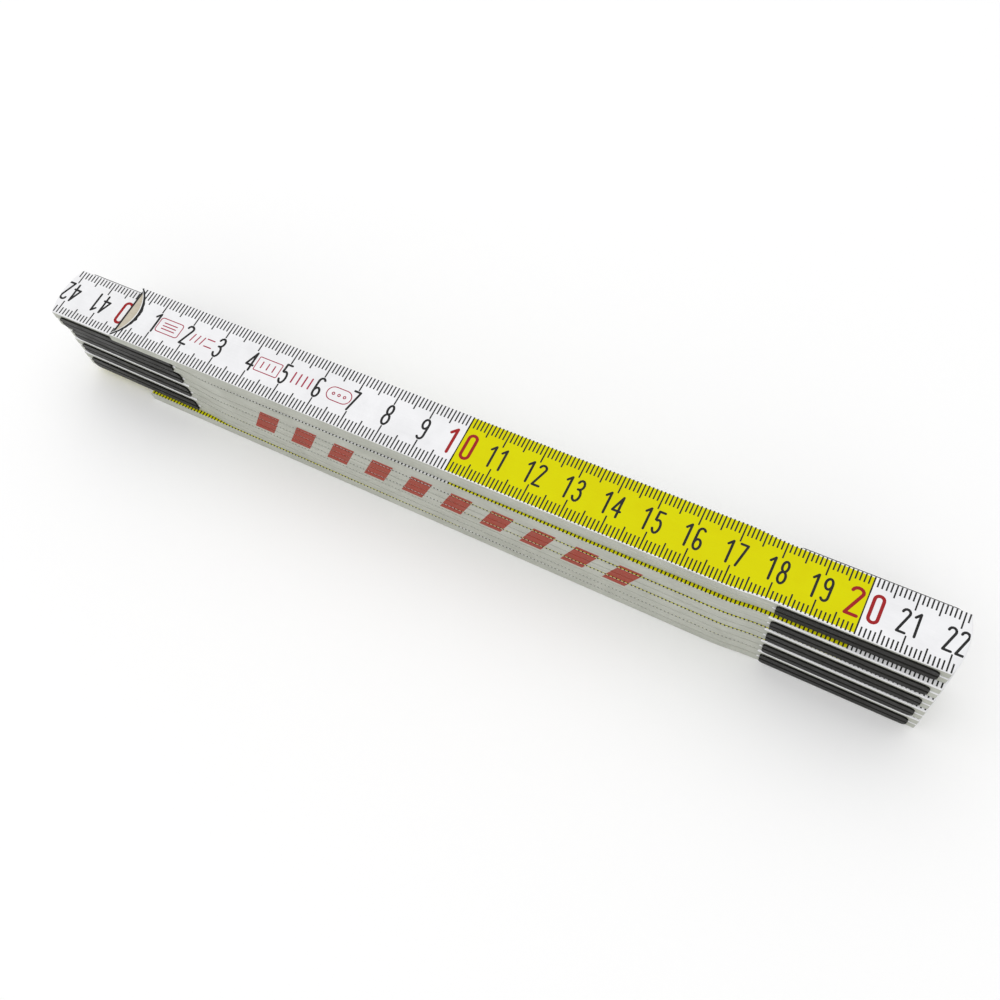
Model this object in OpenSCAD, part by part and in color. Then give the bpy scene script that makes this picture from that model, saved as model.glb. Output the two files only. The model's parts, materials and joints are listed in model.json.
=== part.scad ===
// Two-metre folding rule: ten lacquered beech slats stacked face to face and joined end to end
// by nine concealed steel joints. Slat 1 carries the zero end and lies on top, and the last slat
// lies at the bottom. The origin is the middle of the underside, +X runs from the zero end along
// the scale of the top slat, and +Z is up.

/* [Slats] */
// Number of slats
slat_count = 10; // [2:1:10]
// Distance from one joint to the next along a slat
joint_pitch = 200; // [120:1:250]
// Full width of a slat
slat_w = 16; // [14:0.1:20]
// Thickness of a slat
slat_t = 3.2; // [3:0.1:4]
// Gap between neighbouring slats
slat_gap = 0.1; // [0.05:0.01:0.3]

/* [Slat ends] */
// Width of a slat where a joint wraps it
neck_w = 14.8; // [14:0.1:15]
// Where the narrowing starts, measured inboard from the joint
shoulder_start = 30; // [28:0.5:36]
// Where the narrowing is complete, measured inboard from the joint
shoulder_end = 18; // [17.5:0.5:22]
// How far the rounded tip of a slat reaches past its joint
tip_reach = 22.8; // [22:0.1:26]
// Height of the shallow arc that rounds the tip
tip_rise = 1.5; // [1:0.1:2.5]
// Depth of the nail nick at the edge of the zero end
nick_depth = 1.1; // [0.5:0.1:1.4]
// How far the nail nick reaches in from the zero end
nick_reach = 3.7; // [2.5:0.1:5]
// Fall of the floor of the nail nick towards the zero end, in degrees
nick_slope = 9; // [0:1:12]

/* [Joint plates] */
// Thickness of the sheet steel
plate_t = 0.5; // [0.4:0.05:0.6]
// Reach of a plate inboard of its joint
plate_in = 17.2; // [14:0.1:17.4]
// Reach of a plate outboard of its joint
plate_out = 19.3; // [14:0.1:20]
// Height of the flanges that wrap the edges of a slat
flange_h = 2.2; // [1.5:0.1:2.6]
// Rounding of the inboard flange corners
flange_r_in = 1; // [0.5:0.1:1.4]
// Rounding of the outboard flange corners
flange_r_out = 1.4; // [0.5:0.1:1.5]
// Height of the punched prongs that bite into the wood
prong_h = 1.5; // [1:0.1:1.8]

/* [Detent] */
// Radius of the track that the detent bumps run in
track_r = 5.4; // [5:0.1:6]
// Depth of the track
track_depth = 0.2; // [0.16:0.01:0.22]
// Depth of the detent pockets
pocket_depth = 0.32; // [0.25:0.01:0.35]
// Height of a detent bump
bump_h = 0.22; // [0.15:0.01:0.24]

/* [Rivet and spring] */
// Radius of the rivet's shank
shank_r = 2; // [1.5:0.1:2.2]
// Running clearance of the shank in the plate that turns on it
shank_gap = 0.05; // [0.03:0.01:0.08]
// Radius of the rivet's heads
head_r = 3.4; // [3:0.1:3.6]
// Thickness of a rivet head
head_t = 0.6; // [0.4:0.05:0.7]
// Radius of the hole through the rivet
rivet_bore_r = 1.2; // [0.8:0.1:1.3]
// Thickness of the conical spring washer
washer_t = 0.3; // [0.2:0.05:0.35]

/* [Resting pose] */
// Small turn left in each joint when the rule is folded, in degrees, from the top joint down
rest_turn = [0.16, 0.39, 0.19, 0.16, -0.06, 0.14, -0.07, 0.07, -0.16]; // [-0.5:0.01:0.5]

/* [Hidden] */
$fn = 48;
joint_count = slat_count - 1;
pivot_x = joint_pitch / 2;
layer_pitch = slat_t + slat_gap;
half_w = slat_w / 2;
half_neck = neck_w / 2;
plate_half_w = half_neck + plate_t;
head_room = 0.1;
washer_cone = 0.17;
washer_gap = 0.03;
prong_l = 2;
prong_in_x = -12;
prong_out_x = 13;
track_w = 1.7;
bump_r = 0.7;
// The shoulder is two equal arcs that meet halfway.
shoulder_l = shoulder_start - shoulder_end;
shoulder_turn = 2 * atan((half_w - half_neck) / shoulder_l);
shoulder_r = shoulder_l / 2 / sin(shoulder_turn);
// The tip is one arc across the neck.
tip_r = (half_neck * half_neck + tip_rise * tip_rise) / (2 * tip_rise);
tip_turn = asin(half_neck / tip_r);
// The nail nick is cut by a round cutter that just reaches the corners of the zero end.
nick_r = (half_w * half_w + nick_reach * nick_reach) / (2 * nick_reach);
// Heights in a joint, from the underside of its upper slat.
lower_web_z = -slat_gap - plate_t;
washer_z = lower_web_z - washer_gap;
lower_head_z = washer_z - washer_t - washer_cone;
rivet_bottom_z = lower_head_z - head_t;
upper_pocket_depth = plate_t + head_t + head_room;
lower_pocket_depth = -slat_gap - rivet_bottom_z + head_room;
pocket_r = head_r + 0.3;

function two_digits(k) = str(k < 10 ? "0" : "", k);

// Joint k joins slat k to slat k + 1. Odd joints are at the right-hand end, even ones at the left.
function side(k) = k % 2 == 1 ? 1 : -1;
function along(angle) = [cos(angle), sin(angle)];

// The folded stack is placed from the bottom slat upwards, one joint at a time.
function slat_yaw(k) = k == slat_count ? 0 : slat_yaw(k + 1) + rest_turn[k - 1];
function joint_xy(k) = k == joint_count
    ? [side(k) * pivot_x, 0]
    : joint_xy(k + 1) + side(k) * joint_pitch * along(slat_yaw(k + 1));
function slat_xy(k) = k == slat_count
    ? [0, 0]
    : joint_xy(k) - side(k) * pivot_x * along(slat_yaw(k));
function slat_z(k) = (slat_count - k) * layer_pitch;

module in_slat(k) {
    translate([slat_xy(k).x, slat_xy(k).y, slat_z(k)]) rotate(slat_yaw(k)) children();
}

// On a face of a slat at one of its joints, with +X outboard and +Z into the wood.
module on_underside(s) {
    translate([s * pivot_x, 0, 0]) rotate(s > 0 ? 0 : 180) children();
}

module on_top(s) {
    translate([s * pivot_x, 0, slat_t]) rotate(s > 0 ? 0 : 180) rotate([180, 0, 0]) children();
}

function arc(centre, r, from, to, steps) =
    [for (i = [0 : steps]) centre + r * along(from + (to - from) * i / steps)];

// One end of a slat's outline, from its +Y edge round to its -Y edge.
function shoulder() = concat(
    arc([pivot_x - shoulder_start, half_w - shoulder_r], shoulder_r, 90, 90 - shoulder_turn, 5),
    arc([pivot_x - shoulder_end, half_neck + shoulder_r], shoulder_r, 270 - shoulder_turn, 270, 5)
);
function jointed_end() = concat(
    shoulder(),
    arc([pivot_x + tip_reach - tip_r, 0], tip_r, tip_turn, -tip_turn, 14),
    [for (i = [len(shoulder()) - 1 : -1 : 0]) [shoulder()[i].x, -shoulder()[i].y]]
);
function plain_end() = [[pivot_x, half_w], [pivot_x, -half_w]];
function slat_outline(k) = concat(
    k < slat_count || side(k - 1) > 0 ? jointed_end() : plain_end(),
    [for (p = k == 1 || (k == slat_count && side(k - 1) > 0) ? plain_end() : jointed_end()) -p]
);

// The room that a joint plate, its prongs and a rivet head take in a face of a slat.
module joint_recess(pocket_depth) {
    translate([-plate_in, -half_w, -1]) cube([plate_in + plate_out, slat_w, plate_t + 1]);
    translate([0, 0, -1]) cylinder(r = pocket_r, h = pocket_depth + 1);
    prongs();
}

module prongs() {
    for (x = [prong_in_x, prong_out_x])
        translate([x - prong_l / 2, -plate_t / 2, 0]) cube([prong_l, plate_t, prong_h]);
}

module nail_nick() {
    translate([-pivot_x, 0, slat_t - nick_depth]) rotate([0, -nick_slope, 0])
        translate([nick_reach - nick_r, 0, 0]) cylinder(r = nick_r, h = 2 * slat_t, $fn = 96);
}

module slat(k) {
    color("gainsboro") in_slat(k) difference() {
        linear_extrude(slat_t) polygon(slat_outline(k));
        if (k < slat_count) on_underside(side(k)) joint_recess(upper_pocket_depth);
        if (k > 1) on_top(side(k - 1)) joint_recess(lower_pocket_depth);
        if (k == 1) nail_nick();
    }
}

// A joint plate lies flat on a slat, with its flanges up the two edges.
module channel_section() {
    difference() {
        union() {
            translate([-half_neck, 0]) square([neck_w, plate_t]);
            for (s = [-1, 1]) {
                translate([s * half_neck, plate_t]) circle(r = plate_t);
                translate([s * half_neck - plate_t, plate_t]) square([2 * plate_t, flange_h - plate_t]);
            }
        }
        translate([-half_neck, plate_t]) square([neck_w, flange_h]);
    }
}

module flange_outline() {
    translate([-plate_in, 0]) square([plate_in + plate_out, flange_h - flange_r_out]);
    translate([flange_r_in - plate_in, 0])
        square([plate_in + plate_out - flange_r_in - flange_r_out, flange_h]);
    translate([-plate_in, 0]) square([2 * flange_r_in, flange_h - flange_r_in]);
    translate([flange_r_in - plate_in, flange_h - flange_r_in]) circle(r = flange_r_in);
    translate([plate_out - flange_r_out, flange_h - flange_r_out]) circle(r = flange_r_out);
}

module plate_blank() {
    intersection() {
        translate([-plate_in, 0, 0]) rotate([90, 0, 90])
            linear_extrude(plate_in + plate_out) channel_section();
        rotate([90, 0, 0]) linear_extrude(slat_w, center = true) flange_outline();
    }
    prongs();
}

module upper_plate(k) {
    color("dimgray") in_slat(k) on_underside(side(k)) {
        difference() {
            plate_blank();
            translate([0, 0, -1]) cylinder(r = shank_r, h = plate_t + 2);
        }
        // The bumps stand out of the face that meets the lower plate.
        for (y = [-track_r, track_r])
            translate([0, y, -bump_h]) cylinder(r1 = bump_r / 2, r2 = bump_r, h = bump_h + plate_t / 4);
    }
}

module lower_plate(k) {
    color("dimgray") in_slat(k + 1) on_top(side(k)) difference() {
        plate_blank();
        translate([0, 0, -1]) cylinder(r = shank_r + shank_gap, h = plate_t + 2);
        difference() {
            translate([0, 0, -1]) cylinder(r = track_r + track_w / 2, h = track_depth + 1);
            translate([0, 0, -2]) cylinder(r = track_r - track_w / 2, h = track_depth + 3);
        }
        // The joint clicks where the bumps drop into the pockets, folded, square and straight.
        for (a = [0 : 90 : 270])
            rotate(a) translate([track_r, 0, -1]) cylinder(r = track_w / 2, h = pocket_depth + 1);
    }
}

module rivet(k) {
    color("silver") in_slat(k) on_underside(side(k)) difference() {
        union() {
            translate([0, 0, rivet_bottom_z]) cylinder(r = shank_r, h = plate_t + head_t - rivet_bottom_z);
            translate([0, 0, plate_t]) cylinder(r = head_r, h = head_t);
            translate([0, 0, rivet_bottom_z]) cylinder(r = head_r, h = head_t);
        }
        translate([0, 0, rivet_bottom_z - 1]) cylinder(r = rivet_bore_r, h = 2 * slat_t);
    }
}

// The washer is a shallow cone whose rim presses the lower plate up against the upper one.
module spring_washer(k) {
    color("darkgray") in_slat(k) on_underside(side(k)) rotate_extrude()
        polygon([
            [shank_r + shank_gap, lower_head_z],
            [head_r, washer_z - washer_t],
            [head_r, washer_z],
            [shank_r + shank_gap, lower_head_z + washer_t]
        ]);
}

for (k = [1 : slat_count])
    slat(k);
for (k = [1 : joint_count]) {
    upper_plate(k);
    lower_plate(k);
    rivet(k);
    spring_washer(k);
}
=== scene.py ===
import json
import math
import bpy
import bmesh
from mathutils import Matrix, Vector


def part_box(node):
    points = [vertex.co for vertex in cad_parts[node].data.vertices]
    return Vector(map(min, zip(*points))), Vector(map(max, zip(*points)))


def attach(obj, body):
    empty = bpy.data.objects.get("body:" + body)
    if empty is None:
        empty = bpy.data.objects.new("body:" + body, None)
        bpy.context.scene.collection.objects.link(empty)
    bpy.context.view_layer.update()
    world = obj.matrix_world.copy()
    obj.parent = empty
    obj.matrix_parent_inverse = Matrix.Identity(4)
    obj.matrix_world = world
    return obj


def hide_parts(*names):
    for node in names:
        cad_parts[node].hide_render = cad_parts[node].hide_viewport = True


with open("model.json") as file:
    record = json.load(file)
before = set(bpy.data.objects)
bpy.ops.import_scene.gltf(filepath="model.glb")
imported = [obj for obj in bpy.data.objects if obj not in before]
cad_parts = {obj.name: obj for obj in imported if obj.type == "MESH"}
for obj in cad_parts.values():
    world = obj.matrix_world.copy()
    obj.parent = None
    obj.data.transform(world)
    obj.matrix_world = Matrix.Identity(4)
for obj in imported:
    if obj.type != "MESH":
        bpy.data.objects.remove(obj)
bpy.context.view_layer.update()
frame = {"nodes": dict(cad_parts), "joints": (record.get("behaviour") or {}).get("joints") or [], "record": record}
scene = bpy.context.scene


# The eye. Someone bends over the folded rule on a bench and looks down on the end with the nail
# nick, with the printed face of the top slat running away to the lower right.
camera_data = bpy.data.cameras.new("reader")
camera_data.sensor_width = 36
camera_data.lens = 41.15
camera_data.shift_x = -0.03
camera_data.clip_start = 0.01
camera = bpy.data.objects.new("reader", camera_data)
scene.collection.objects.link(camera)
eye = Vector((0.09287, -0.10133, 0.27016))
gaze = Vector((0.01714, 0.00169, 0.016)) - eye
tilt = Matrix.Rotation(math.radians(-10.43), 3, "Z")
camera.rotation_mode = "QUATERNION"
camera.location = eye
camera.rotation_quaternion = (gaze.to_track_quat("-Z", "Y").to_matrix() @ tilt).to_quaternion()
scene.camera = camera


# The ten slats. Each is a strip of beech 3.2 mm thick, sprayed with lacquer, its arrises rubbed
# round, narrowed at both ends for the joints and tipped with a shallow arc. Slat 1 has the square
# zero end with a nail nick, and slat 10 the square two-metre end.

# Sizes are in millimetres. HALF is half a slat's width, and NECK half its width under a joint
# plate. STATION is the distance from a slat's middle to each pivot, and REACH to its tip.
COUNT = 10
MM = 0.001
pivots = {int(joint["child"][-2:]): Vector(joint["pos_m"]) for joint in frame["joints"]}
mounts = {mount["name"]: Vector(mount["pos_m"]) for mount in frame["record"]["mounts"]}
slat_low, slat_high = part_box("slat_10")
plate_low, plate_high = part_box("lower_plate_09")
HALF = (slat_high.y - slat_low.y) / 2 / MM
THICK = (slat_high.z - slat_low.z) / MM
REACH = slat_high.x / MM
STATION = 100.0
STEEL = 0.5
NECK = (plate_high.y - plate_low.y) / 2 / MM - STEEL
PLATE_FROM = plate_low.x / MM
PLATE_TO = plate_high.x / MM
SHOULDER_FROM = 70.0
SHOULDER_TO = 82.0
SHOULDER_STEPS = 12
TIP_STEPS = 16
TIP_RISE = 1.5
TIP_RADIUS = (NECK ** 2 + TIP_RISE ** 2) / (2 * TIP_RISE)
SHOULDER_TURN = 2 * math.atan((HALF - NECK) / (SHOULDER_TO - SHOULDER_FROM))
SHOULDER_RADIUS = (SHOULDER_TO - SHOULDER_FROM) / 2 / math.sin(SHOULDER_TURN)
NICK_REACH = 3.7
NICK_RADIUS = (HALF ** 2 + NICK_REACH ** 2) / (2 * NICK_REACH)
NICK_DEPTH = 1.1
NICK_TILT = math.radians(9)
POCKET_RADIUS = 3.7
UNDERSIDE_POCKET = 1.2
TOP_POCKET = 1.7
SPARE = 1
ARRIS = 0.2
NECK_ARRIS = 0.35
FIELD_MARGIN = 0.08
ARRIS_RINGS = ((0, 1), (0.29, 0.29), (1, 0))


def name_of(part, k):
    """The name of the piece of this kind that belongs to slat or joint k."""
    return f"{part}_{k:02d}"


def slat_place(k):
    """The matrix from a slat's own millimetres, with its middle under the origin, to the frame."""
    if k % 2:
        left = pivots[k - 1] if k > 1 else mounts["zero_end"]
        right = pivots[k]
    else:
        left = pivots[k] if k < COUNT else mounts["two_metre_end"]
        right = pivots[k - 1]
    across = right - left
    middle = (left + right) / 2
    middle.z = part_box(name_of("slat", k))[0].z
    turn = Matrix.Rotation(math.atan2(across.y, across.x), 4, "Z")
    return Matrix.Translation(middle) @ turn @ Matrix.Scale(MM, 4)


def is_square(k, side):
    """Whether this end of slat k is sawn square: the zero end and the two-metre end."""
    return (k, side) in ((1, -1), (COUNT, -1))


def half_width(k, x):
    """Half the width of slat k at x, before its arrises are rubbed round."""
    if is_square(k, 1 if x > 0 else -1) or abs(x) < SHOULDER_FROM:
        return HALF
    if abs(x) > SHOULDER_TO:
        return NECK
    middle = (SHOULDER_FROM + SHOULDER_TO) / 2
    if abs(x) < middle:
        turn = math.asin((abs(x) - SHOULDER_FROM) / SHOULDER_RADIUS)
        return HALF - SHOULDER_RADIUS * (1 - math.cos(turn))
    turn = math.asin((SHOULDER_TO - abs(x)) / SHOULDER_RADIUS)
    return NECK + SHOULDER_RADIUS * (1 - math.cos(turn))


def arris_at(k, x):
    """How far the arris is rounded at x: a little along the slat, more where it was narrowed."""
    narrowed = (HALF - half_width(k, x)) / (HALF - NECK)
    return ARRIS + (NECK_ARRIS - ARRIS) * narrowed


def outline_end(k, side):
    """One end of a slat's outline, from its +Y edge round to its -Y edge, for the +X end."""
    if is_square(k, side):
        return [Vector((STATION, HALF)), Vector((STATION, -HALF))]
    shoulder = []
    for i in range(SHOULDER_STEPS + 1):
        x = SHOULDER_FROM + (SHOULDER_TO - SHOULDER_FROM) * i / SHOULDER_STEPS
        shoulder.append(Vector((x, half_width(k, x))))
    centre = REACH - TIP_RADIUS
    swing = math.asin(NECK / TIP_RADIUS)
    tip = []
    for i in range(TIP_STEPS + 1):
        turn = swing - 2 * swing * i / TIP_STEPS
        tip.append(Vector((centre + TIP_RADIUS * math.cos(turn), TIP_RADIUS * math.sin(turn))))
    return shoulder + tip + [Vector((p.x, -p.y)) for p in reversed(shoulder)]


def slat_outline(k):
    """The whole outline, clockwise from the +Y edge of the +X end."""
    return outline_end(k, 1) + [-p for p in outline_end(k, -1)]


def drawn_in(points, amount):
    """The outline pulled inwards by amount(point), square to its edges."""
    drawn = []
    for i, point in enumerate(points):
        before = (point - points[i - 1]).normalized()
        after = (points[(i + 1) % len(points)] - point).normalized()
        first = Vector((before.y, -before.x))
        second = Vector((after.y, -after.x))
        drawn.append(point + (first + second) / (1 + first.dot(second)) * amount(point))
    return drawn


def new_object(name, data):
    """An object with this data, in the scene."""
    piece = bpy.data.objects.new(name, data)
    scene.collection.objects.link(piece)
    return piece


def new_material(name):
    """A material, its node tree and its Principled BSDF."""
    material = bpy.data.materials.new(name)
    material.use_nodes = True
    tree = material.node_tree
    return material, tree, tree.nodes["Principled BSDF"]


def add_node(tree, kind, **settings):
    """A shader node with these settings, and these values on its sockets by number."""
    node = tree.nodes.new(kind)
    for key, value in settings.items():
        if key[:2] == "in" and key[2:].isdigit():
            node.inputs[int(key[2:])].default_value = value
        else:
            setattr(node, key, value)
    return node


def new_group(name, inputs, outputs):
    """An empty node group with float inputs {name: value} and float outputs."""
    group = bpy.data.node_groups.new(name, "ShaderNodeTree")
    sockets = group.interface
    for label, value in inputs.items():
        socket = sockets.new_socket(name=label, in_out="INPUT", socket_type="NodeSocketFloat")
        socket.default_value = value
    for label in outputs:
        sockets.new_socket(name=label, in_out="OUTPUT", socket_type="NodeSocketFloat")
    return group, group.nodes.new("NodeGroupInput"), group.nodes.new("NodeGroupOutput")


def use_group(tree, group, **values):
    """A shader group placed in a material with its own values."""
    node = tree.nodes.new("ShaderNodeGroup")
    node.node_tree = group
    for key, value in values.items():
        node.inputs[key.replace("_", " ")].default_value = value
    return node


# Beech has fine straight pores along the strip, and lacquer fills most of them. Drawn steel has
# straight lines of the same kind.
grain, grain_in, grain_out = new_group("beech_grain", {"Pore size": 1.0}, ("Pores",))
grain_coords = add_node(grain, "ShaderNodeTexCoord")
stretch = add_node(grain, "ShaderNodeMapping", vector_type="POINT")
stretch.inputs["Scale"].default_value = (55, 2600, 2600)
pores = add_node(grain, "ShaderNodeTexNoise", noise_dimensions="3D")
pores.inputs["Detail"].default_value = 3
pores.inputs["Roughness"].default_value = 0.6
grain.links.new(grain_coords.outputs["Object"], stretch.inputs["Vector"])
grain.links.new(stretch.outputs["Vector"], pores.inputs["Vector"])
grain.links.new(grain_in.outputs["Pore size"], pores.inputs["Scale"])
grain.links.new(pores.outputs["Fac"], grain_out.inputs["Pores"])

# Soft patches a little greyer and duller than clean lacquer or steel: smudges left by hands, and on the white
# lacquer also painted reflections.
smudges_and_reflections, smudges_in, smudges_out = new_group(
    "smudges_and_reflections", {"Patch size": 1.0, "Contrast": 1.0}, ("Smudge", "Fine dust"))
smudges_coords = add_node(smudges_and_reflections, "ShaderNodeTexCoord")
patch = add_node(smudges_and_reflections, "ShaderNodeTexNoise", noise_dimensions="3D")
patch.inputs["Detail"].default_value = 4
patch.inputs["Roughness"].default_value = 0.65
patch.inputs["Distortion"].default_value = 0.6
patch_size = add_node(smudges_and_reflections, "ShaderNodeMath", operation="DIVIDE", in0=95.0)
dust = add_node(smudges_and_reflections, "ShaderNodeTexNoise", noise_dimensions="3D")
dust.inputs["Scale"].default_value = 2600
dust.inputs["Detail"].default_value = 2
about_zero = add_node(smudges_and_reflections, "ShaderNodeMath", operation="SUBTRACT", in1=0.5)
gain = add_node(smudges_and_reflections, "ShaderNodeMath", operation="MULTIPLY_ADD", use_clamp=True, in2=0.5)
smudges_and_reflections.links.new(smudges_in.outputs["Patch size"], patch_size.inputs[1])
smudges_and_reflections.links.new(patch_size.outputs["Value"], patch.inputs["Scale"])
smudges_and_reflections.links.new(smudges_coords.outputs["Object"], patch.inputs["Vector"])
smudges_and_reflections.links.new(smudges_coords.outputs["Object"], dust.inputs["Vector"])
smudges_and_reflections.links.new(patch.outputs["Fac"], about_zero.inputs[0])
smudges_and_reflections.links.new(about_zero.outputs["Value"], gain.inputs[0])
smudges_and_reflections.links.new(smudges_in.outputs["Contrast"], gain.inputs[1])
smudges_and_reflections.links.new(gain.outputs["Value"], smudges_out.inputs["Smudge"])
smudges_and_reflections.links.new(dust.outputs["Fac"], smudges_out.inputs["Fine dust"])


def lacquer(name, clean, smudge_and_reflection_colour, pore_tone, gloss, bump, shine=0.35):
    """Sprayed lacquer over beech: its clean colour, the colour of its greyer patches (smudges, and on the white
    also painted reflections), and how far the pores show.
    """
    material, tree, shader = new_material(name)
    wood = use_group(tree, grain, Pore_size=1.0)
    smudge_patches = use_group(tree, smudges_and_reflections, Patch_size=1.0, Contrast=2.2)
    paint = add_node(tree, "ShaderNodeMix", data_type="RGBA")
    paint.inputs["A"].default_value = (*clean, 1)
    paint.inputs["B"].default_value = (*smudge_and_reflection_colour, 1)
    tone = add_node(tree, "ShaderNodeMapRange")
    tone.inputs["To Min"].default_value = 1 - pore_tone
    tone.inputs["To Max"].default_value = 1 + pore_tone
    shade = add_node(tree, "ShaderNodeMix", data_type="RGBA", blend_type="MULTIPLY")
    shade.inputs["Factor"].default_value = 1
    rough = add_node(tree, "ShaderNodeMapRange")
    rough.inputs["To Min"].default_value = gloss
    rough.inputs["To Max"].default_value = gloss + 0.16
    relief = add_node(tree, "ShaderNodeBump")
    relief.inputs["Strength"].default_value = bump
    relief.inputs["Distance"].default_value = 0.00004
    tree.links.new(smudge_patches.outputs["Smudge"], paint.inputs["Factor"])
    tree.links.new(wood.outputs["Pores"], tone.inputs["Value"])
    tree.links.new(paint.outputs["Result"], shade.inputs["A"])
    tree.links.new(tone.outputs["Result"], shade.inputs["B"])
    tree.links.new(shade.outputs["Result"], shader.inputs["Base Color"])
    tree.links.new(smudge_patches.outputs["Smudge"], rough.inputs["Value"])
    tree.links.new(rough.outputs["Result"], shader.inputs["Roughness"])
    tree.links.new(wood.outputs["Pores"], relief.inputs["Height"])
    tree.links.new(relief.outputs["Normal"], shader.inputs["Normal"])
    shader.inputs["Specular IOR Level"].default_value = shine
    return material


# The greyer patches on the white lacquer are partly smudges and partly painted reflections.
white_lacquer = lacquer(
    "white_lacquer", clean=(0.88, 0.88, 0.895), smudge_and_reflection_colour=(0.79, 0.79, 0.805),
    pore_tone=0.03, gloss=0.26, bump=0.12)
yellow_lacquer = lacquer(
    "yellow_lacquer", clean=(0.69, 0.68, 0.0), smudge_and_reflection_colour=(0.67, 0.62, 0.0),
    pore_tone=0.03, gloss=0.28, bump=0.12, shine=0.06)
# The sides and most arrises take a greenish grey lacquer well below the white of the faces: partly its own tone,
# partly painted shade for the shaded sides.
shaded_edge_lacquer = lacquer(
    "shaded_edge_lacquer", clean=(0.51, 0.52, 0.455), smudge_and_reflection_colour=(0.42, 0.43, 0.37),
    pore_tone=0.2, gloss=0.36, bump=0.35)
raw_beech = lacquer(
    "raw_beech", clean=(0.58, 0.53, 0.43), smudge_and_reflection_colour=(0.50, 0.44, 0.34),
    pore_tone=0.22, gloss=0.55, bump=0.6)
FIELD_WHITE, FIELD_YELLOW, SHADED_EDGE = range(3)
FLAT = 0.99
SLOPING = 0.3
FIELD_AREA = 200


def field_at(k, x):
    """The field of a slat at x: every other hundred millimetres of the scale is yellow."""
    along = STATION + (x if k % 2 else -x) + 2 * STATION * (k - 1)
    return FIELD_YELLOW if math.floor(along / STATION) % 2 else FIELD_WHITE


def slat_mesh(k):
    """The slat before its joints are let in, in its own millimetres."""
    wall = slat_outline(k)
    rings = [(0, drawn_in(wall, lambda p: arris_at(k, p.x) + FIELD_MARGIN))]
    for depth, inset in ARRIS_RINGS:
        rings.append((depth, drawn_in(wall, lambda p: inset * arris_at(k, p.x))))
    bm = bmesh.new()
    levels = []
    for top in (False, True):
        for depth, points in (reversed(rings) if top else rings):
            level = []
            for point, corner in zip(points, wall):
                sunk = depth * arris_at(k, corner.x)
                level.append(bm.verts.new((point.x, point.y, THICK - sunk if top else sunk)))
            levels.append(level)
    bm.faces.new(reversed(levels[0]))
    bm.faces.new(levels[-1])
    count = len(wall)
    for lower, upper in zip(levels, levels[1:]):
        for i in range(count):
            j = (i + 1) % count
            bm.faces.new((lower[i], lower[j], upper[j], upper[i]))
    for x in (-STATION, 0, STATION):
        bmesh.ops.bisect_plane(
            bm, geom=bm.verts[:] + bm.edges[:] + bm.faces[:], dist=1e-5,
            plane_co=(x, 0, 0), plane_no=(1, 0, 0))
    bmesh.ops.recalc_face_normals(bm, faces=bm.faces[:])
    # Flat faces take their field colour. The arrises are white on slat 1 and at the narrowed ends; along the full
    # width of slats 2 to 10 they take the grey edge lacquer, painted shade for the dark lines between the stacked
    # slats, and so do the walls.
    for face in bm.faces:
        middle = face.calc_center_median()
        slope = abs(face.normal.z)
        if slope > FLAT and face.calc_area() > FIELD_AREA:
            span = [v.co.x for v in face.verts]
            face.material_index = field_at(k, (min(span) + max(span)) / 2)
        elif slope > FLAT:
            face.material_index = FIELD_WHITE
        elif slope > SLOPING and (k == 1 or abs(middle.x) > SHOULDER_TO):
            face.material_index = FIELD_WHITE
        else:
            face.material_index = SHADED_EDGE
    mesh = bpy.data.meshes.new(name_of("slat_wood", k))
    bm.to_mesh(mesh)
    bm.free()
    for material in (white_lacquer, yellow_lacquer, shaded_edge_lacquer, raw_beech):
        mesh.materials.append(material)
    return mesh


def cutter(bm, name):
    """A tool that cuts a slat and leaves raw wood, made from bm."""
    bmesh.ops.recalc_face_normals(bm, faces=bm.faces[:])
    mesh = bpy.data.meshes.new(name)
    bm.to_mesh(mesh)
    bm.free()
    mesh.materials.append(raw_beech)
    return new_object(name, mesh)


def recess_cutter(side, top):
    """Room for a joint plate in the top or the underside, at one end."""
    bm = bmesh.new()
    surface = THICK if top else 0
    into = -1 if top else 1
    slab = bmesh.ops.create_cube(bm, size=1)["verts"]
    scale = Vector((PLATE_TO - PLATE_FROM, 2 * HALF + 2 * SPARE, STEEL + SPARE))
    middle = Vector(((PLATE_FROM + PLATE_TO) / 2 * side, 0, surface + into * (STEEL - SPARE) / 2))
    bmesh.ops.scale(bm, vec=scale, verts=slab)
    bmesh.ops.translate(bm, vec=middle, verts=slab)
    return cutter(bm, "plate_recess_tool")


def pocket_cutter(side, top, deep):
    """The blind round pocket that takes a rivet head."""
    bm = bmesh.new()
    surface = THICK if top else 0
    into = -1 if top else 1
    bmesh.ops.create_cone(
        bm, cap_ends=True, segments=48, radius1=POCKET_RADIUS, radius2=POCKET_RADIUS,
        depth=deep + SPARE,
        matrix=Matrix.Translation((side * STATION, 0, surface + into * (deep - SPARE) / 2)))
    return cutter(bm, "rivet_pocket_tool")


def nick_cutter():
    """The round tool of the nail nick, tipped so that the floor falls towards the end."""
    bm = bmesh.new()
    bmesh.ops.create_cone(
        bm, cap_ends=True, segments=160, radius1=NICK_RADIUS, radius2=NICK_RADIUS,
        depth=2 * THICK,
        matrix=Matrix.Translation((NICK_REACH - NICK_RADIUS, 0, THICK)))
    place = Matrix.Translation((-STATION, 0, THICK - NICK_DEPTH))
    tipped = Matrix.Rotation(-NICK_TILT, 4, "Y")
    bmesh.ops.transform(bm, matrix=place @ tipped, verts=bm.verts)
    return cutter(bm, "nail_nick_tool")


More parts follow.
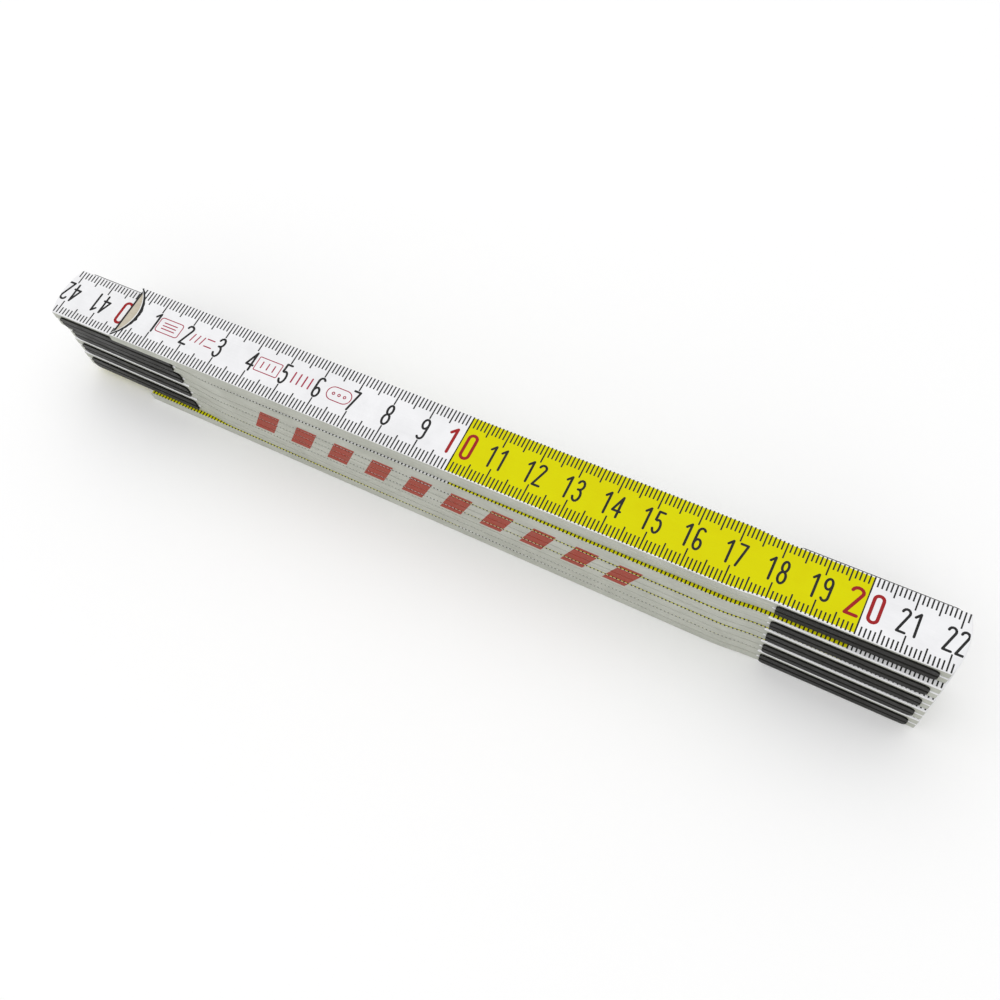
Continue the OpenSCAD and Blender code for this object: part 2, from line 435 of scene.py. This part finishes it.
def cut(piece, tools):
    """Cuts the tools out of the piece for good."""
    for tool in tools:
        modifier = piece.modifiers.new(tool.name, "BOOLEAN")
        modifier.object = tool
        modifier.operation = "DIFFERENCE"
        modifier.solver = "EXACT"
        modifier.material_mode = "TRANSFER"
    scene.view_layers[0].update()
    graph = bpy.context.evaluated_depsgraph_get()
    solid = bpy.data.meshes.new_from_object(piece.evaluated_get(graph))
    piece.modifiers.clear()
    rough = piece.data
    piece.data = solid
    bpy.data.meshes.remove(rough)
    for tool in tools:
        bpy.data.meshes.remove(tool.data)


for k in range(1, COUNT + 1):
    slat = new_object(name_of("beech_slat", k), slat_mesh(k))
    next_end = 1 if k % 2 else -1
    tools = []
    if k < COUNT:
        tools.append(recess_cutter(next_end, False))
        tools.append(pocket_cutter(next_end, False, UNDERSIDE_POCKET))
    if k > 1:
        tools.append(recess_cutter(-next_end, True))
        tools.append(pocket_cutter(-next_end, True, TOP_POCKET))
    if k == 1:
        tools.append(nick_cutter())
    cut(slat, tools)
    slat.data.transform(slat_place(k))
    slat.data.shade_smooth()
    slat.data.set_sharp_from_angle(angle=math.radians(20))
    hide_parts(name_of("slat", k))
    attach(slat, name_of("link", k))


# The printed scale. Black ink is rolled on both faces of every slat: lines at each millimetre along
# both edges, longer at 5 and 10 mm, a line right across at each decimetre, and the numbers down the
# middle, with red ones at the decimetres. The ink is a film a hundredth of a millimetre thick.

# A film stands FILM above the lacquer and reaches KEY into it. Strokes in turn lie a LAYER lower,
# so that two that cross have different heights.
FILM = 0.012
KEY = 0.02
LAYER = 0.002
LAYERS = 4
SHARP_BEND = 0.45
ROUND_CAP = (0.5, 0.87, 0.985)


def ink(name, colour, worn, gloss):
    """A printed film: its colour, the colour of its worn spots and its gloss."""
    material, tree, shader = new_material(name)
    smudge_patches = use_group(tree, smudges_and_reflections, Patch_size=0.35, Contrast=2.5)
    tint = add_node(tree, "ShaderNodeMix", data_type="RGBA")
    tint.inputs["A"].default_value = (*colour, 1)
    tint.inputs["B"].default_value = (*worn, 1)
    rough = add_node(tree, "ShaderNodeMapRange")
    rough.inputs["To Min"].default_value = gloss
    rough.inputs["To Max"].default_value = gloss + 0.2
    tree.links.new(smudge_patches.outputs["Smudge"], tint.inputs["Factor"])
    tree.links.new(tint.outputs["Result"], shader.inputs["Base Color"])
    tree.links.new(smudge_patches.outputs["Fine dust"], rough.inputs["Value"])
    tree.links.new(rough.outputs["Result"], shader.inputs["Roughness"])
    shader.inputs["Specular IOR Level"].default_value = 0.2
    return material


class Print:
    """Flat printed shapes on one slat, each a thin closed solid."""

    def __init__(self, k):
        self.k = k
        self.points = []
        self.faces = []
        self.layer = 0

    def strip(self, stations, closed=False):
        """A solid strip through stations of four corners each."""
        base = len(self.points)
        for corners in stations:
            self.points.extend(corners)
        count = len(stations)
        for i in range(count if closed else count - 1):
            a = base + 4 * i
            b = base + 4 * ((i + 1) % count)
            for p, q in ((0, 1), (1, 2), (2, 3), (3, 0)):
                self.faces.append((a + p, a + q, b + q, b + p))
        if not closed:
            last = base + 4 * (count - 1)
            self.faces.append((base, base + 1, base + 2, base + 3))
            self.faces.append((last + 3, last + 2, last + 1, last))

    def stroke(self, line, width, place, closed=False):
        """A pen stroke of this width along line, with round ends."""
        line = [Vector(p) for p in line]
        for i in range(1, len(line) - 1):
            into = (line[i] - line[i - 1]).normalized()
            out = (line[i + 1] - line[i]).normalized()
            if into.dot(out) < SHARP_BEND:
                self.stroke(line[:i + 1], width, place)
                self.stroke(line[i:], width, place)
                return
        stations = []
        count = len(line)
        for i, point in enumerate(line):
            before = line[i - 1] if i or closed else None
            after = line[(i + 1) % count] if i < count - 1 or closed else None
            into = (point - before).normalized() if before is not None else None
            out = (after - point).normalized() if after is not None else None
            into = into or out
            out = out or into
            square = Vector((-into.y - out.y, into.x + out.x))
            square = square / max(SHARP_BEND, 1 + into.dot(out))
            stations.append((point, square * width / 2))
        if not closed:
            for end in (0, -1):
                point, square = stations[end]
                away = Vector((-square.y, square.x)) * (1 if end == 0 else -1)
                caps = [(point + away * d, square * math.sqrt(1 - d * d)) for d in ROUND_CAP]
                stations = caps[::-1] + stations if end == 0 else stations + caps
        self.strip([self.corners(p, s, place) for p, s in stations], closed)
        self.layer = (self.layer + 1) % LAYERS

    def corners(self, point, square, place):
        """The four corners of the film at a point of a stroke: strokes in turn differ in height."""
        left = point + square
        right = point - square
        top = FILM - LAYER * self.layer
        return [place(left, top), place(right, top), place(right, -KEY), place(left, -KEY)]

    def make(self, name, material):
        """Makes the printed shapes one piece that moves with their slat."""
        mesh = bpy.data.meshes.new(name)
        mesh.from_pydata([tuple(p) for p in self.points], [], self.faces)
        bm = bmesh.new()
        bm.from_mesh(mesh)
        bmesh.ops.recalc_face_normals(bm, faces=bm.faces[:])
        bm.to_mesh(mesh)
        bm.free()
        mesh.materials.append(material)
        mesh.transform(slat_place(self.k))
        piece = new_object(name, mesh)
        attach(piece, name_of("link", self.k))


def tip_limit(k, x, y):
    """x kept on the printed face, short of the rounded tip."""
    side = 1 if x > 0 else -1
    if is_square(k, side):
        return side * min(abs(x), STATION - ARRIS)
    inset = REACH - NECK_ARRIS - TIP_RADIUS + math.sqrt(max(0, TIP_RADIUS ** 2 - y * y))
    return side * min(abs(x), inset)


def face_place(k, top):
    """Places a point of the print, along the scale and up the numbers, on one face of slat k."""
    way = 1 if k % 2 else -1

    def place(point, lift):
        x = tip_limit(k, way * point[0], point[1])
        y = way * point[1] if top else -way * point[1]
        return Vector((x, y, THICK + lift if top else -lift))

    return place


def is_steel(k, top, x, margin):
    """Whether a joint plate takes the place of the print at x on a face."""
    if (k == 1 and top) or (k == COUNT and not top):
        return False
    end = -1 if bool(k % 2) == top else 1
    return PLATE_FROM - margin < end * x < PLATE_TO + margin


TICK_WIDTH = 0.36
LAP_TURNS = (0.17, 0.35, 0.52)


def tick(sheet, k, top, x, inner, edge):
    """A line at x from inner to the +Y or -Y edge of a face, and over the arris on slat 1."""
    wall = half_width(k, x)
    arris = arris_at(k, x)
    stations = []
    path = [(inner, 0, 0), (wall - arris, 0, 0)]
    for turn in LAP_TURNS if k == 1 else ():
        path.append((wall - arris + arris * math.sin(turn), arris * (1 - math.cos(turn)), turn))
    for y, drop, turn in path:
        ring = []
        for side, lift in ((-1, FILM), (1, FILM), (1, -KEY), (-1, -KEY)):
            out_y = (y + lift * math.sin(turn)) * edge
            out_z = drop - lift * math.cos(turn)
            ring.append(Vector((x + side * TICK_WIDTH / 2, out_y, THICK - out_z if top else out_z)))
        stations.append(ring)
    sheet.strip(stations)


def bow(cx, cy, rx, ry, start, stop, steps=8):
    """Points on an arc of an ellipse, its angles in degrees."""
    turns = [math.radians(start + (stop - start) * i / steps) for i in range(steps + 1)]
    return [(cx + rx * math.cos(t), cy + ry * math.sin(t)) for t in turns]


# Each digit is one or two pen strokes, open or closed, in a box 1.6 wide and 5.5 high.
DIGIT_HEIGHT = 5.5
DIGITS = {
    "0": [(bow(0, 1.93, 0.8, 0.82, 0, 180) + bow(0, -1.93, 0.8, 0.82, 180, 360), True)],
    "1": [([(-0.75, 1.72), (0.2, 2.75), (0.2, -2.75)], False)],
    "2": [(bow(0, 1.9, 0.82, 0.85, 172, -28) + [(-0.85, -2.75), (0.9, -2.75)], False)],
    "3": [(bow(0, 1.55, 0.8, 1.2, 160, -82) + [(-0.3, 0.3)], False),
          (bow(-0.02, -1.22, 0.86, 1.53, 80, -160, 10), False)],
    "4": [([(0.5, -2.75), (0.5, 2.6), (-0.95, -1.15), (0.98, -1.15)], False)],
    "5": [([(0.75, 2.75), (-0.62, 2.75), (-0.72, 0.55)]
           + bow(0, -1.05, 0.82, 1.7, 118, -155, 12), False)],
    "6": [(bow(0.02, 1.7, 0.8, 1.05, 35, 180, 7) + [(-0.8, -1.45)], False),
          (bow(0, -1.45, 0.8, 1.3, 0, 360, 18)[:-1], True)],
    "7": [([(-0.85, 2.75), (0.82, 2.75), (-0.35, -2.75)], False)],
    "8": [(bow(0, 1.45, 0.7, 1.3, 0, 360, 16)[:-1], True),
          (bow(0, -1.3, 0.84, 1.45, 0, 360, 16)[:-1], True)],
}
DIGITS["9"] = [([(-x, -y) for x, y in line], closed) for line, closed in DIGITS["6"]]


def write(sheet, digit, at, place, high, broad, pen):
    """Prints a digit with its middle at this distance along the scale."""
    grow = (high - pen) / DIGIT_HEIGHT
    for line, closed in DIGITS[digit]:
        shape = [(at + x * broad * grow, y * grow) for x, y in line]
        sheet.stroke(shape, pen, place, closed)


NUMBER_PEN = 0.6
NUMBER_HIGH = 6.05
LONG_NUMBER_HIGH = 5.6
NUMBER_PITCH = 2.82
RED_PEN = 0.78
RED_HIGH = 7.25
RED_BEYOND = 2.45
RED_BEFORE = -2.3
RED_PITCH = 2.9


def write_centimetres(sheet, mark, along, place):
    """Prints the number of centimetres, centred on its line."""
    digits = str(mark // 10)
    high = NUMBER_HIGH if len(digits) < 3 else LONG_NUMBER_HIGH
    middle = (len(digits) - 1) / 2
    for number, digit in enumerate(digits):
        write(sheet, digit, along + (number - middle) * NUMBER_PITCH, place, high, 1.0, NUMBER_PEN)


def write_decimetres(sheet, mark, along, place):
    """Prints the larger number at a decimetre line, with its last digit beyond the line."""
    for number, digit in enumerate(reversed(str(mark // 10))):
        spot = along + (RED_BEYOND if number == 0 else RED_BEFORE - RED_PITCH * (number - 1))
        write(sheet, digit, spot, place, RED_HIGH, 1.28 if digit == "2" else 1.1, RED_PEN)


def tick_start(mark):
    """How far from the middle of the face the lines of a millimetre start."""
    if mark % 10 == 0:
        return 3.15
    return 4.0 if mark % 5 == 0 else 5.0


def nick_reach(y):
    """How far in from the zero end the nail nick reaches at y."""
    return NICK_REACH - NICK_RADIUS + math.sqrt(NICK_RADIUS ** 2 - y * y)


def nick_half_width(mark):
    """Half the width of the nail nick at this distance from the zero end."""
    from_centre = mark + NICK_RADIUS - NICK_REACH
    return math.sqrt(NICK_RADIUS ** 2 - from_centre ** 2)


TICK_END = 7.4
LINE_WIDTH = 0.3
LINE_STOP = 0.1
PLATE_CLEAR = 0.3
NUMBER_CLEAR = 2.5
TIP_CLEAR = 0.2
NUMBER_TIP_CLEAR = 2
NICK_CLEAR = 0.75


def print_face(black, red, k, top):
    """Prints the scale on one face of slat k, from its low end to its high end."""
    way = 1 if k % 2 else -1
    start = 2 * STATION * (k - 1) + STATION
    place = face_place(k, top)
    ends = [STATION if is_square(k, side) else REACH for side in (-way, way)]
    for mark in range(math.ceil(start - ends[0]), math.floor(start + ends[1]) + 1):
        along = mark - start
        x = way * along
        if is_steel(k, top, x, PLATE_CLEAR) or mark in (0, 2000):
            continue
        reach = half_width(k, x) - arris_at(k, x)
        if mark % 100 == 0:
            line = [(along, LINE_STOP - reach), (along, reach - LINE_STOP)]
            black.stroke(line, LINE_WIDTH, place)
        start_at = tick_start(mark)
        if k == 1 and top and mark <= NICK_REACH:
            start_at = max(start_at, nick_half_width(mark) + NICK_CLEAR)
        rounded = not is_square(k, 1 if x > 0 else -1)
        on_tip = rounded and abs(x) > REACH - TIP_RISE - TIP_CLEAR
        if start_at < TICK_END and not on_tip:
            for edge in (1, -1):
                tick(black, k, top, x, start_at, edge)
        near_tip = abs(x) > REACH - NUMBER_TIP_CLEAR
        if mark % 10 or near_tip or is_steel(k, top, x, NUMBER_CLEAR):
            continue
        if mark % 100 == 0:
            write_decimetres(red, mark, along, place)
        else:
            write_centimetres(black, mark, along, place)


RIM_STEPS = 40
RIM_STOP = 0.35


def outline_nick(sheet):
    """Outlines the nail nick in black, heavier and ragged at the middle, with two small knots."""
    place = face_place(1, True)
    rim = []
    for i in range(RIM_STEPS + 1):
        y = -HALF + RIM_STOP + (2 * HALF - 2 * RIM_STOP) * i / RIM_STEPS
        full = math.cos(y / HALF * 1.5) ** 2
        heavy = 0.22 + 0.22 * full + 0.03 * math.sin(y * 4.1)
        heavy += 0.14 * math.exp(-((abs(y) - 1.3) / 0.25) ** 2)
        centre = Vector((NICK_REACH - NICK_RADIUS, 0))
        outward = (Vector((nick_reach(y), y)) - centre).normalized()
        point = Vector((nick_reach(y) - STATION, y)) + outward * (0.12 * full + heavy)
        rim.append(sheet.corners(point, outward * heavy, place))
    sheet.strip(rim)


# The black band along the end of the nail nick is painted shadow, where slat 1 ends over slat 2.
END_SHADOW_WIDTH = 0.6
END_SHADOW_STOP = 0.5
END_SHADOW_DEPTH = 0.1


def paint_end_shadow(sheet):
    """A black band on the floor of the nick, along the end and down it: painted shadow of the end of slat 1 over
    slat 2.
    """
    low = THICK - NICK_DEPTH + FILM
    high = low + END_SHADOW_WIDTH * math.tan(NICK_TILT)
    inner = END_SHADOW_WIDTH - STATION
    stations = []
    for y in (END_SHADOW_STOP - HALF, HALF - END_SHADOW_STOP):
        stations.append([
            Vector((-STATION - FILM, y, low)), Vector((inner, y, high)),
            Vector((inner, y, high - END_SHADOW_DEPTH)),
            Vector((-STATION - FILM, y, low - END_SHADOW_WIDTH))])
    sheet.strip(stations)


black_ink = ink("black_ink", colour=(0.008, 0.008, 0.008), worn=(0.02, 0.02, 0.02), gloss=0.35)
red_ink = ink("red_ink", colour=(0.36, 0.006, 0.008), worn=(0.30, 0.010, 0.012), gloss=0.35)

for k in range(1, COUNT + 1):
    black = Print(k)
    red = Print(k)
    for top in (True, False):
        print_face(black, red, k, top)
    # On slat 1 the black film also carries the outline of the nail nick and a painted shadow along the nick's end.
    if k == 1:
        outline_nick(black)
        paint_end_shadow(black)
    black.make(name_of("printed_scale", k), black_ink)
    red.make(name_of("decimetre_numbers", k), red_ink)


# The class marks. Small crimson marks are printed between the first centimetres of slat 1, where a
# maker gives the class of the rule. Plain boxes, bars, dots and an oval take their places here.
crimson = Print(1)
top_face = face_place(1, True)
ORIGIN = -STATION
FRAME_PEN = 0.26
FINE_PEN = 0.3
MARK_PEN = 0.34
BOLD_PEN = 0.42


def framed(left, right, half, corner):
    """A thin frame with round corners between two distances from the zero end."""
    line = []
    corners = ((right, half, 0), (left, half, 90), (left, -half, 180), (right, -half, 270))
    for cx, cy, turn in corners:
        inward = -corner if cx == right else corner
        rise = -corner if cy > 0 else corner
        line += bow(ORIGIN + cx + inward, cy + rise, corner, corner, turn, turn + 90, 5)
    crimson.stroke(line, FRAME_PEN, top_face, closed=True)


def bar(left, right, y, pen):
    """A level bar between two distances from the zero end."""
    crimson.stroke([(ORIGIN + left, y), (ORIGIN + right, y)], pen, top_face)


def dashes(left, count, pitch, half, lean, pen):
    """A row of upright dashes, the first this far from the zero end."""
    for i in range(count):
        x = ORIGIN + left + i * pitch
        crimson.stroke([(x, -half), (x + lean, half)], pen, top_face)


def ring(middle, radius):
    """A small ring this far from the zero end."""
    line = bow(ORIGIN + middle, 0, radius, radius, 0, 360, 8)[:-1]
    crimson.stroke(line, FRAME_PEN, top_face, closed=True)


framed(10.9, 17.8, half=2.1, corner=0.7)
for y in (-0.9, 0, 0.9):
    bar(12.4, 16.3, y, FINE_PEN)
dashes(21.6, count=3, pitch=1.5, half=1.1, lean=0.5, pen=MARK_PEN)
for y in (-1.1, 1.1):
    bar(25.9, 28.0, y, MARK_PEN)
framed(41.6, 48.4, half=2.0, corner=0.3)
dashes(43.2, count=3, pitch=1.75, half=0.9, lean=0, pen=MARK_PEN)
dashes(52.6, count=4, pitch=1.65, half=1.5, lean=0, pen=BOLD_PEN)
framed(62.6, 69.4, half=1.9, corner=1.85)
for middle in (64.4, 66.0, 67.6):
    ring(middle, radius=0.34)
crimson_ink = ink("crimson_ink", colour=(0.32, 0.012, 0.045), worn=(0.42, 0.05, 0.09), gloss=0.4)
crimson.make("class_marks_01", crimson_ink)


# The side bars. A row of slanted bars is printed in brick red along the front of the folded stack,
# across the edges of slats 4 to 7, so each slat carries its own slices of them.
BAR_PITCH = 11.4
BAR_WIDTH = 6.0
BAR_COUNT = 10
BAR_LEAN = math.tan(math.radians(25))
BAR_STOP = 1.4
BAR_INSET = 44
brick_ink = ink("brick_ink", colour=(0.38, 0.052, 0.030), worn=(0.33, 0.07, 0.045), gloss=0.5)
row_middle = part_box("slat_05")[0].z / MM
row_left = pivots[2].x / MM + BAR_INSET
low_arris = []
for turn in (1.3, 0.9, 0.45, 0):
    low_arris.append((ARRIS - ARRIS * math.sin(turn), ARRIS - ARRIS * math.cos(turn)))
high_arris = [(THICK - z, inset) for z, inset in reversed(low_arris)]
bar_levels = {
    4: low_arris + [(BAR_STOP, 0)],
    5: low_arris + high_arris,
    6: low_arris + high_arris,
    7: [(BAR_STOP, 0)] + high_arris,
}
for k, levels in bar_levels.items():
    slices = Print(k)
    to_slat = slat_place(k).inverted()
    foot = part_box(name_of("slat", k))[0].z / MM
    for number in range(BAR_COUNT):
        stations = []
        for z, inset in levels:
            middle = row_left + number * BAR_PITCH + (foot + z - row_middle) * BAR_LEAN
            corners = []
            for side, lift in ((-1, FILM), (1, FILM), (1, -KEY), (-1, -KEY)):
                spot = to_slat @ Vector(((middle + side * BAR_WIDTH / 2) * MM, 0, 0))
                corners.append(Vector((spot.x, -HALF + inset - lift, z)))
            stations.append(corners)
        slices.strip(stations)
    slices.make(name_of("side_bars", k), brick_ink)


# The joint plates. Each joint is a pair of channels pressed from 0.5 mm spring steel and blackened:
# one wraps the end of the upper slat, the other the end of the lower. Folding rubs the black off
# their arrises. They are let in flush, prongs biting the wood.
def steel_finish(name, dark, bright, gloss, metal):
    """Steel with drawn lines along the strip and handled patches."""
    material, tree, shader = new_material(name)
    drawn = use_group(tree, grain, Pore_size=1.6)
    smudge_patches = use_group(tree, smudges_and_reflections, Patch_size=0.6, Contrast=2.5)
    mix = add_node(tree, "ShaderNodeMix", data_type="RGBA")
    mix.inputs["A"].default_value = (*dark, 1)
    mix.inputs["B"].default_value = (*bright, 1)
    blend = add_node(tree, "ShaderNodeMath", operation="MULTIPLY")
    rough = add_node(tree, "ShaderNodeMapRange")
    rough.inputs["To Min"].default_value = gloss
    rough.inputs["To Max"].default_value = gloss + 0.22
    relief = add_node(tree, "ShaderNodeBump")
    relief.inputs["Strength"].default_value = 0.25
    relief.inputs["Distance"].default_value = 0.00002
    tree.links.new(drawn.outputs["Pores"], blend.inputs[0])
    tree.links.new(smudge_patches.outputs["Smudge"], blend.inputs[1])
    tree.links.new(blend.outputs["Value"], mix.inputs["Factor"])
    tree.links.new(mix.outputs["Result"], shader.inputs["Base Color"])
    tree.links.new(smudge_patches.outputs["Smudge"], rough.inputs["Value"])
    tree.links.new(rough.outputs["Result"], shader.inputs["Roughness"])
    tree.links.new(drawn.outputs["Pores"], relief.inputs["Height"])
    tree.links.new(relief.outputs["Normal"], shader.inputs["Normal"])
    shader.inputs["Metallic"].default_value = metal
    shader.inputs["Specular IOR Level"].default_value = 0.12
    return material


black_steel = steel_finish(
    "blackened_steel", dark=(0.007, 0.007, 0.006), bright=(0.030, 0.029, 0.025),
    gloss=0.30, metal=0.4)
rubbed_steel = steel_finish(
    "rubbed_steel", dark=(0.05, 0.048, 0.045), bright=(0.22, 0.21, 0.20),
    gloss=0.28, metal=0.9)


def finish_node(node, materials):
    """Gives a CAD part its materials, and returns the part."""
    part = frame["nodes"][node]
    part.data.materials.clear()
    for material in materials:
        part.data.materials.append(material)
    return part


for k in range(1, COUNT):
    for kind in ("upper_plate", "lower_plate"):
        plate = finish_node(name_of(kind, k), (black_steel, rubbed_steel))
        weld = plate.modifiers.new("weld", "WELD")
        weld.merge_threshold = 1e-6
        rub = plate.modifiers.new("rubbed arrises", "BEVEL")
        rub.width = 0.00006
        rub.segments = 2
        rub.limit_method = "ANGLE"
        rub.angle_limit = 0.7
        rub.material = 1


# The rivets and the spring washers. A hollow steel rivet holds each pair of plates, its heads in
# blind pockets in the wood, and a conical washer of spring steel under the lower head keeps the
# joint stiff. Neither is finished beyond a brushed surface.
rivet_steel = steel_finish(
    "brushed_rivet_steel", dark=(0.40, 0.40, 0.41), bright=(0.55, 0.55, 0.56),
    gloss=0.25, metal=1.0)
washer_steel = steel_finish(
    "spring_steel", dark=(0.22, 0.22, 0.24), bright=(0.34, 0.34, 0.36),
    gloss=0.3, metal=1.0)
for k in range(1, COUNT):
    finish_node(name_of("rivet", k), (rivet_steel,))
    finish_node(name_of("spring_washer", k), (washer_steel,))


# The bench is a plain pale sheet, lit by one large soft lamp overhead, a weaker one in front and
# the pale room round about.
BENCH = 3
bench_mesh = bpy.data.meshes.new("pale_bench")
bench_corners = [(-BENCH, -BENCH, 0), (BENCH, -BENCH, 0), (BENCH, BENCH, 0), (-BENCH, BENCH, 0)]
bench_mesh.from_pydata(bench_corners, [], [(0, 1, 2, 3)])
bench = new_object("pale_bench", bench_mesh)
bench_material, _, bench_shader = new_material("pale_bench")
bench_shader.inputs["Base Color"].default_value = (0.98, 0.98, 0.98, 1)
bench_shader.inputs["Roughness"].default_value = 0.9
bench_shader.inputs["Specular IOR Level"].default_value = 0.0
bench_mesh.materials.append(bench_material)


def soft_lamp(name, where, size, power):
    """A square lamp at this place, turned to the rule."""
    lamp = bpy.data.lights.new(name, "AREA")
    lamp.shape = "SQUARE"
    lamp.size = size
    lamp.energy = power
    holder = new_object(name, lamp)
    holder.location = where
    holder.rotation_mode = "QUATERNION"
    holder.rotation_quaternion = (-Vector(where)).to_track_quat("-Z", "Y")


soft_lamp("overhead_lamp", where=(-0.2, 0.1, 1.1), size=2.0, power=9.6)
soft_lamp("front_lamp", where=(0.8, -0.9, 0.5), size=0.7, power=1.0)
room = bpy.data.worlds.new("pale_room")
room.use_nodes = True
room_light = room.node_tree.nodes["Background"]
room_light.inputs["Color"].default_value = (1, 1, 1, 1)
room_light.inputs["Strength"].default_value = 0.64
scene.world = room
scene.view_settings.view_transform = "Standard"
